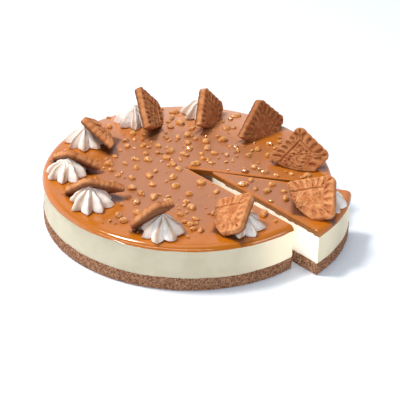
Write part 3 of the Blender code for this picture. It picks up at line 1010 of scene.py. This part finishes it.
def biscuitMesh(index):
    size = biscuitSize
    thick = size["thickness"]
    rings = []
    for inset in reversed(backInsets):
        lift = 0.0006 * (1 - smooth(inset, 0.0, 0.0014)) ** 2
        rings.append([(x, y, lift, 0.0, b, 1.0) for x, y, r, b in biscuitRing(index, inset, 0.3 * inset)])
    for step in range(size["sideSteps"]):
        share = step / (size["sideSteps"] - 1)
        belly = size["belly"] * (1 - max(0.0, 1 - abs(2 * share - 0.9) / 1.1) ** 0.5)
        ring = []
        for x, y, r, b in biscuitRing(index, belly, 0.0):
            top = thick + biscuitHeight(0.0, mixed(r, 1.0, b)) + 0.0001
            ring.append((x, y, mixed(0.0008, top, share), 0.0, b, 1 - smooth(share, 0.0, 0.45)))
        rings.append(ring)
    for inset in faceInsets:
        ring = []
        for x, y, r, b in biscuitRing(index, inset, 0.25 * inset):
            sided = max(0.0, min(x, size["width"] - x, -y))
            height = biscuitHeight(mixed(inset, sided, b), mixed(r, 1.0, b))
            # painted shade in the slots' hollows and along the step where the panel sinks
            slot = slotShare(inset, r) * (1 - b)
            frameLineShade = smooth(sided, size["border"] - 0.0003, size["border"] + 0.0001)
            frameLineShade *= 1 - smooth(sided, size["border"] + 0.0002, size["border"] + 0.0012)
            ring.append((x, y, thick + height, max(slot, frameLineShade) * slotShadeShares[index], b, 0.0))
        rings.append(ring)
    count = len(rings[0])

    def centreOf(ring):
        return sum(p[0] for p in ring) / count, sum(p[1] for p in ring) / count

    def shrunk(ring, share, level, under):
        cx, cy = centreOf(ring)
        return [
            (mixed(cx, x, share), mixed(cy, y, share), mixed(level, z, share ** 4), 0.0, 0.0, under)
            for x, y, z, *_ in ring
        ]

    shares = [1 - step / size["centreSteps"] for step in range(1, size["centreSteps"])]
    level = thick - size["panelDepth"] + 0.0005
    inner = [shrunk(rings[0], share, 0.0, 1.0) for share in reversed(shares)]
    outer = [shrunk(rings[-1], share, level, 0.0) for share in shares]
    centres = [(*centreOf(rings[0]), 0.0, 0.0, 0.0, 1.0), (*centreOf(rings[-1]), level, 0.0, 0.0, 0.0)]
    rings = inner + rings + outer
    spots = [spot for ring in rings for spot in ring] + centres
    points = [Vector(spot[:3]) for spot in spots]
    # under: the back and the lower side, darker for their own baking and as painted shade
    marks = {name: [spot[i] for spot in spots] for i, name in ((3, "groove"), (4, "broken"), (5, "under"))}
    faces = []
    last = (len(rings) - 1) * count
    for i in range(count):
        j = (i + 1) % count
        for ring in range(0, last, count):
            faces.append((ring + i, ring + j, ring + count + j, ring + count + i))
        faces.append((j, i, len(spots) - 2))
        faces.append((last + i, last + j, len(spots) - 1))
    mesh = meshOf(f"biscuit{index + 1}", points, faces, marks, 180)
    roughen(mesh, index, marks["broken"])
    for vert in mesh.vertices:
        spot = leanings[index] @ vert.co
        spot.z = max(spot.z, cakeTop - 0.0002)
        vert.co = spot
    mesh.update()
    mesh.set_sharp_from_angle(angle=math.radians(70))
    return mesh


biscuitRelief = {
    "fine": 0.00012,
    "coarse": 0.00020,
    "plateau": 0.0007,
    "panelGrain": 0.0004,
    "pit": 0.0007,
    "breakCoarse": 0.0008,
    "breakFine": 0.0005,
}


def roughen(mesh, index, brokenMarks):
    # baked grain, a crumbly relief in the panel, pits and a crumbly break
    size = biscuitRelief
    seed = Vector((index * 0.37, index * 0.11, 0.0))
    width, thick = biscuitSize["width"], biscuitSize["thickness"]
    moves, pits = [], []
    for vert in mesh.vertices:
        spot = vert.co + seed
        broken = brokenMarks[vert.index]
        grainy = size["fine"] * noise(spot * 1100) + size["coarse"] * noise(spot * 420)
        near = voronoi(Vector((spot.x * 300, spot.y * 420, spot.z * 300)))[0][0]
        inside = min(vert.co.x, width - vert.co.x, -vert.co.y)
        face = vert.co.z > thick * 0.55
        panel = smooth(inside, 0.0096, 0.0110)
        chance = noise(spot * 170 + Vector((7.0, 3.0, 1.0)))
        pit = (1 - smooth(near, 0.08, 0.5)) * smooth(chance, -0.15, 0.12) * (panel if face else 0.15)
        wide = Vector((spot.x * 460, spot.y * 640, 0.0))
        plateau = smooth(noise(wide), -0.12, 0.16) - 0.5
        relief = face * panel * (size["plateau"] * plateau + size["panelGrain"] * noise(wide * 2.3))
        rough = broken * (size["breakCoarse"] * noise(spot * 300) + size["breakFine"] * noise(spot * 800))
        moves.append(vert.normal * (grainy + relief - size["pit"] * pit + rough))
        pits.append(pit)
    # pit: the panel's pits, which the material paints dark as shade
    mark(mesh, "pit", pits)
    # painted shade for a biscuit that faces away from the light
    mark(mesh, "bake", [facingShadeShares[index]] * len(pits))
    for vert, move in zip(mesh.vertices, moves):
        vert.co += move


for index in range(len(biscuitRows)):
    name = f"halfBiscuit{index + 1:02d}"
    makePiece(name, biscuitMesh(index), biscuitMaterial, "biscuit", f"biscuit_{index + 1:02d}")
print("biscuits baked")


# Nuggets: the same scatter as the solids, with finer forms and loose bits beside them

nuggetRule = {
    "count": 92,
    "field": 0.100,
    "sizes": (0.0022, 0.0036),
    "spacing": 0.0078,
    "clear": 0.0010,
    "stretch": ((0.95, 1.35), (0.75, 1.0), (0.6, 0.8)),
    "roughness": (0.85, 1.12),
    "lift": 0.25,
    "levels": (0.0, 0.002, 0.004),
    "rosetteReach": 0.0160,
    "seed": 24,
}


def inWedge(x, y, portion, start, end, margin):
    dx, dy = x - portion["apex"][0], y - portion["apex"][1]
    first, second = math.radians(start), math.radians(end)
    overFirst = -dx * math.sin(first) + dy * math.cos(first)
    underSecond = dx * math.sin(second) - dy * math.cos(second)
    return overFirst > margin and underSecond > margin


def clearOfToppings(x, y, reach):
    width, thick = biscuitSize["width"], biscuitSize["thickness"]
    if rosetteDistance(x, y) < nuggetRule["rosetteReach"] + reach:
        return False
    for index in range(len(biscuitRows)):
        for height in nuggetRule["levels"]:
            local = leaningsBack[index] @ Vector((x + axisX, y, cakeTop + height))
            insideX = -reach < local.x < width + reach
            insideY = -biscuitRows[index][4] * mm - reach < local.y < reach
            insideZ = -reach < local.z < thick + reach
            if insideX and insideY and insideZ:
                return False
    return True


def scatter(rule, draw):
    standing, drawn = [], []
    whole, part = portions["standing"], portions["drawn"]
    while len(standing) + len(drawn) < rule["count"]:
        angle = draw.uniform(0, math.tau)
        distance = rule["field"] * math.sqrt(draw.random())
        size = draw.uniform(*rule["sizes"])
        x, y = distance * math.cos(angle), distance * math.sin(angle)
        reach = size + rule["clear"]
        onCake = not inWedge(x, y, whole, whole["end"] - 360, whole["start"], -reach)
        if not onCake:
            x += part["centre"][0]
            y += part["centre"][1]
            if not inWedge(x, y, part, part["start"], part["end"], reach):
                continue
        if not clearOfToppings(x, y, reach):
            continue
        group = standing if onCake else drawn
        if all(math.hypot(x - a, y - b) > rule["spacing"] for a, b, _ in group):
            group.append((x, y, size))
    return standing, drawn


nuggetShape = {"Fineness": 2, "Lump Scale": 330.0, "Lump Depth": 0.7}
bitShape = {"Fineness": 2, "Lump Scale": 900.0, "Lump Depth": 0.3}
lumpRelief = 0.0022  # metres in or out at a depth of 1


def lumpTree():
    # every vertex of the start mesh becomes one lump, sized and turned by its own marks
    graph, size = startTree("toffeeLumps", nuggetShape)
    stretch, turn = [
        graph.add("GeometryNodeInputNamedAttribute", {"data_type": "FLOAT_VECTOR"}, {"Name": name})
        for name in ("stretch", "turn")
    ]
    lumps = graph.copies(size["Geometry"], graph.ball(size["Fineness"]), turn, stretch)
    whole = graph.add("GeometryNodeRealizeInstances", {}, {"Geometry": lumps})
    facets = graph.add("ShaderNodeTexVoronoi", {"feature": "F1"}, {"Scale": size["Lump Scale"]}, "Distance")
    swell = graph.add("ShaderNodeTexNoise", {}, {"Scale": size["Lump Scale"] * 0.6, "Detail": 2.0})
    normal = graph.add("GeometryNodeInputNormal")
    depth = ((0.45 - facets) * 0.7 + (swell - 0.5) * 1.1) * size["Lump Depth"] * lumpRelief
    offset = graph.vector("SCALE", {0: normal, "Scale": depth})
    rough = graph.add("GeometryNodeSetPosition", {}, {"Geometry": whole, "Offset": offset})
    return endTree(graph, rough, nuggetMaterial)


def lumpStart(name, lumps):
    # lumps are (x, y, z, size, stretch, turn)
    mesh = bpy.data.meshes.new(name)
    mesh.from_pydata([(x + axisX, y, z) for x, y, z, *_ in lumps], [], [])
    for label, values in (
        ("stretch", [size * part for *_, size, parts, turn in lumps for part in parts]),
        ("turn", [part for *_, turn in lumps for part in turn]),
    ):
        mesh.attributes.new(label, "FLOAT_VECTOR", "POINT").data.foreach_set("vector", values)
    return mesh


def nuggetLumps(places, seed):
    # the draws follow the solids' own order, so that each lump has its solid's size and turn
    rule = nuggetRule
    draw = random.Random(seed)
    lumps = []
    for x, y, size in places:
        parts = [draw.uniform(*limits) for limits in rule["stretch"]]
        for _ in range(12):
            draw.uniform(*rule["roughness"])
        turn = draw.uniform(0, math.tau)
        lumps.append((x, y, cakeTop + rule["lift"] * size, size, parts, (0.0, 0.0, turn)))
    return lumps


toffee = lumpTree()
standingNuggets, drawnNuggets = scatter(nuggetRule, random.Random(nuggetRule["seed"]))
for name, places, seed, node in (
    ("toffeeNuggets", standingNuggets, 1, "caramel_top"),
    ("sliceToffeeNuggets", drawnNuggets, 2, "slice_caramel_top"),
):
    mesh = growFrom(name, lumpStart(name, nuggetLumps(places, seed)), toffee, nuggetShape)
    mesh.shade_flat()
    makePiece(name, mesh, nuggetMaterial, "caramel", node)

bitRules = (
    dict(nuggetRule, count=120, sizes=(0.0004, 0.0010), spacing=0.0030, clear=0.0002, seed=7),
    dict(nuggetRule, count=104, sizes=(0.0011, 0.0022), spacing=0.0056, clear=0.0004, field=0.1065, seed=12),
)
draw = random.Random(11)
bits, bitPlaces = [], []
for rule in bitRules:
    standingBits, drawnBits = scatter(rule, random.Random(rule["seed"]))
    bitPlaces += standingBits + drawnBits
for x, y, size in bitPlaces:
    parts = [draw.uniform(0.7, 1.5), draw.uniform(0.6, 1.1), draw.uniform(0.5, 0.9)]
    turn = (draw.uniform(-0.5, 0.5), draw.uniform(-0.5, 0.5), draw.uniform(0, math.tau))
    bits.append((x, y, cakeTop + 0.3 * size, size, parts, turn))
mesh = growFrom("toffeeBits", lumpStart("toffeeBits", bits), toffee, bitShape)
makePiece("toffeeBits", mesh, nuggetMaterial, "caramel")
print("nuggets scattered:", len(standingNuggets) + len(drawnNuggets), "and", len(bits), "bits")


# Crumb grains stand out of the base's round side and cuts

grainShape = {"Distance": 0.00085, "Seed": 3}
grainSizes = {"smallest": (0.00028, 0.00028, 0.00022), "largest": (0.00066, 0.00062, 0.00052)}


def grainTree():
    graph, size = startTree("crumbGrains", grainShape)
    normal = graph.add("GeometryNodeInputNormal")
    upright = graph.parts(normal, "Z")
    spread = {
        "Mesh": size["Geometry"],
        "Selection": upright.math("LESS_THAN", upright.math("ABSOLUTE", upright), 0.75),
        "Distance Min": size["Distance"],
        "Density Max": 1600000.0,
        "Seed": size["Seed"],
    }
    evenly = {"distribute_method": "POISSON"}
    spots = graph.add("GeometryNodeDistributePointsOnFaces", evenly, spread, "Points")
    scale, turn = [
        graph.add("FunctionNodeRandomValue", {"data_type": "FLOAT_VECTOR"}, {0: low, 1: high, "Seed": seed})
        for low, high, seed in (
            (grainSizes["smallest"], grainSizes["largest"], size["Seed"]),
            ((0.0, 0.0, 0.0), (6.28, 6.28, 6.28), size["Seed"] + 1),
        )
    ]
    grains = graph.copies(spots, graph.ball(1), turn, scale)
    tint = graph.add("FunctionNodeRandomValue", {"data_type": "FLOAT"}, {"Seed": size["Seed"] + 2}, 1)
    return endTree(graph, graph.stored(grains, "tint", tint, "INSTANCE"), crumbMaterial)


grains = grainTree()
for name in ("crumbBase", "sliceCrumbBase"):
    mesh = growFrom(name + "Grains", bpy.data.meshes[name].copy(), grains, grainShape)
    for vert in mesh.vertices:
        vert.co.z = max(vert.co.z, 0.0)
    makePiece(name + "Grains", mesh, crumbMaterial, "crumb")
    print(name, "grains:", len(mesh.polygons) // 20)


# Floor, lights and camera

floorLook = {"size": 6.0, "colour": (0.91, 0.94, 0.97, 1.0), "glow": 0.14}
bpy.ops.mesh.primitive_plane_add(size=floorLook["size"], location=(0, 0, -0.0002))
floor = bpy.context.object
floor.name = "floor"


def paintFloor(graph):
    return {
        "Base Color": floorLook["colour"],
        "Roughness": 0.9,
        "Specular IOR Level": 0.1,
        "Emission Color": (0.45, 0.70, 1.0, 1.0),
        "Emission Strength": floorLook["glow"],
    }


floor.data.materials.append(makeMaterial("paleFloor", paintFloor))
floor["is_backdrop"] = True

lights = (  # name, place, aimed at, width, height, watts, colour
    ("keyLight", (-0.57, 0.02, 1.28), (0, 0, 0.02), 0.30, 0.26, 14.5, (1.0, 0.985, 0.95)),
    ("topLight", (-0.10, 0.10, 1.35), (0, 0, 0), 1.2, 1.2, 3.0, (1.0, 0.99, 0.98)),
    ("leftStrip", (-0.46, -1.02, 0.56), (0, 0, 0.02), 2.1, 0.12, 4.9, (1.0, 1.0, 1.0)),
    ("fillLight", (1.10, -0.60, 0.42), (0, 0, 0.02), 0.6, 0.4, 2.5, (1.0, 0.985, 0.95)),
)
for name, spot, aim, width, height, watts, colour in lights:
    data = bpy.data.lights.new(name, "AREA")
    data.shape = "RECTANGLE"
    data.size, data.size_y = width, height
    data.energy, data.color = watts, colour
    lamp = newObject(name, data)
    lamp.location = spot
    lamp.rotation_euler = (Vector(aim) - Vector(spot)).to_track_quat("-Z", "Y").to_euler()

sky = {
    "low": (1.25, 1.22, 1.36, 1.0),
    "high": (0.26, 0.28, 0.33, 1.0),
    "front": (0.14, 0.15, 0.18, 1.0),
    "right": 0.45,
    "strength": 0.9,
}
# a pale backdrop low behind the cake, dimmer overhead, to the right and towards the viewer
world = bpy.data.worlds.new("studio")
world.use_nodes = True
graph = Graph(world.node_tree)
across = graph.parts(graph.add("ShaderNodeTexCoord", output="Generated"))
risen = graph.mix(across.other("Z").step(0.50, 0.62), sky["low"], sky["high"])
whole = graph.mix(across.other("Y").step(0.1, -0.45), risen, sky["front"])
dimmer = (1 - across.step(0.1, 0.8) * (1 - sky["right"])) * sky["strength"]
graph.fill(world.node_tree.nodes["Background"], {"Color": whole, "Strength": dimmer})
scene.world = world
scene.view_settings.view_transform = "Standard"

cameraView = {
    "place": (-0.0066, -0.9651, 0.5820),
    "turn": (59.359, -1.198, 0.104),
    "lens": 130.2135,
}
camera = newObject("camera", bpy.data.cameras.new("camera"))
camera.data.lens = cameraView["lens"]
camera.data.sensor_width = 36.0
camera.location = cameraView["place"]
camera.rotation_euler = [math.radians(turn) for turn in cameraView["turn"]]
scene.camera = camera

sizes = {"cad": [list(corner) for corner in frameBox], "visual": [list(corner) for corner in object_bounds()]}
print("sizes:", sizes)
